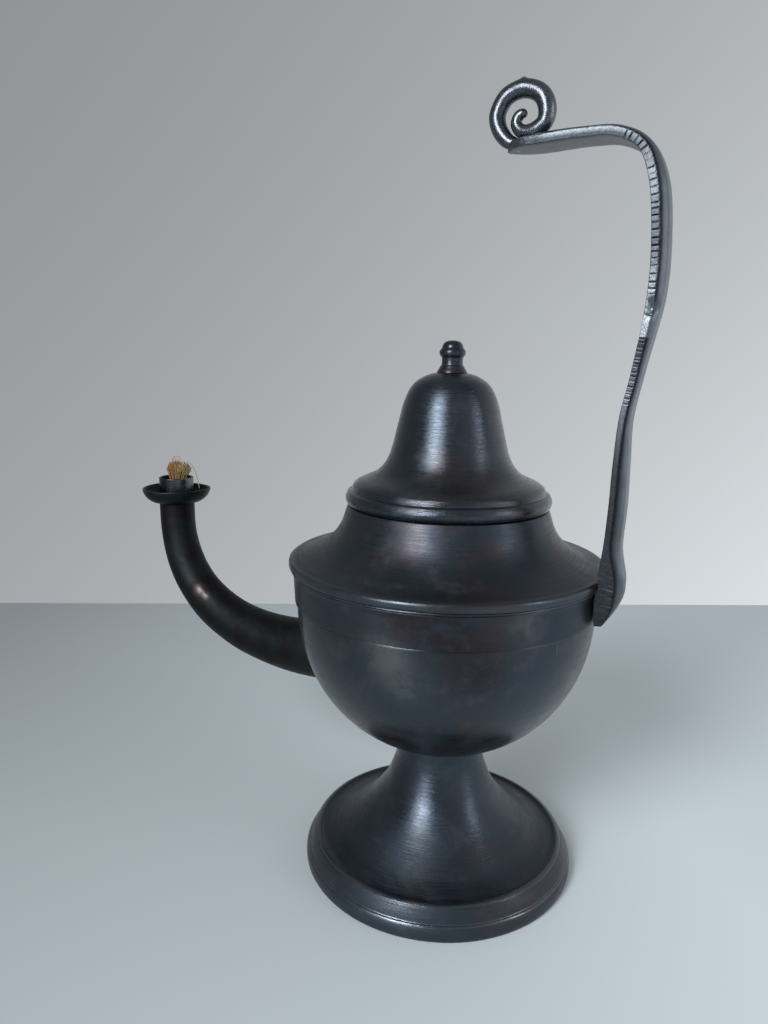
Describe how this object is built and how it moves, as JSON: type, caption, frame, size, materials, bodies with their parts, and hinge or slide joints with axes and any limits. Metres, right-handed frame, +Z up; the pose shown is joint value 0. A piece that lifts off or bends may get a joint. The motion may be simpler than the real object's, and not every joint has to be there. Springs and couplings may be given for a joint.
{
  "type": "oil lamp",
  "caption": "Pewter spouted oil lamp with a round foot, bowl reservoir, lift-off bell lid, drip pan with a wick, and a tall strap handle ending in a scroll.",
  "frame": {"origin": "middle of the space the lamp takes up in X and Y, at the level it stands on; the axis of the foot, bowl and lid is at x = 40.6 mm", "axes": "+Z up along the axis of the foot, bowl and lid; +X towards the handle, -X towards the spout"},
  "size_m": [0.2276, 0.1208, 0.2924],
  "materials": {
    "dark_pewter": "dark patinated pewter, satin, with fine turning lines",
    "spout_pewter": "dark patinated pewter, smooth satin",
    "handle_pewter": "grey pewter, worn bright on its edges",
    "wick": "loose natural fibre, browned"
  },
  "bodies": {
    "lamp_body": {"foot": "dark_pewter", "bowl": "dark_pewter", "shoulder": "dark_pewter", "spout": "spout_pewter", "handle": "handle_pewter", "drip_pan": "spout_pewter", "wick_tube": "handle_pewter", "wick_cord": "wick"},
    "lid_body": {"lid": "dark_pewter", "lid_ring": "dark_pewter", "finial": "dark_pewter"},
    "wick_end": {"wick_tuft": "wick"}
  },
  "joints": [
    {"name": "lid_lift", "type": "slide", "parent": "lamp_body", "child": "lid_body", "axis": [0, 0, 1], "range_m": [0, 0.06]},
    {"name": "wick_feed", "type": "slide", "parent": "lamp_body", "child": "wick_end", "axis": [0, 0, 1], "range_m": [0, 0.006]}
  ]
}
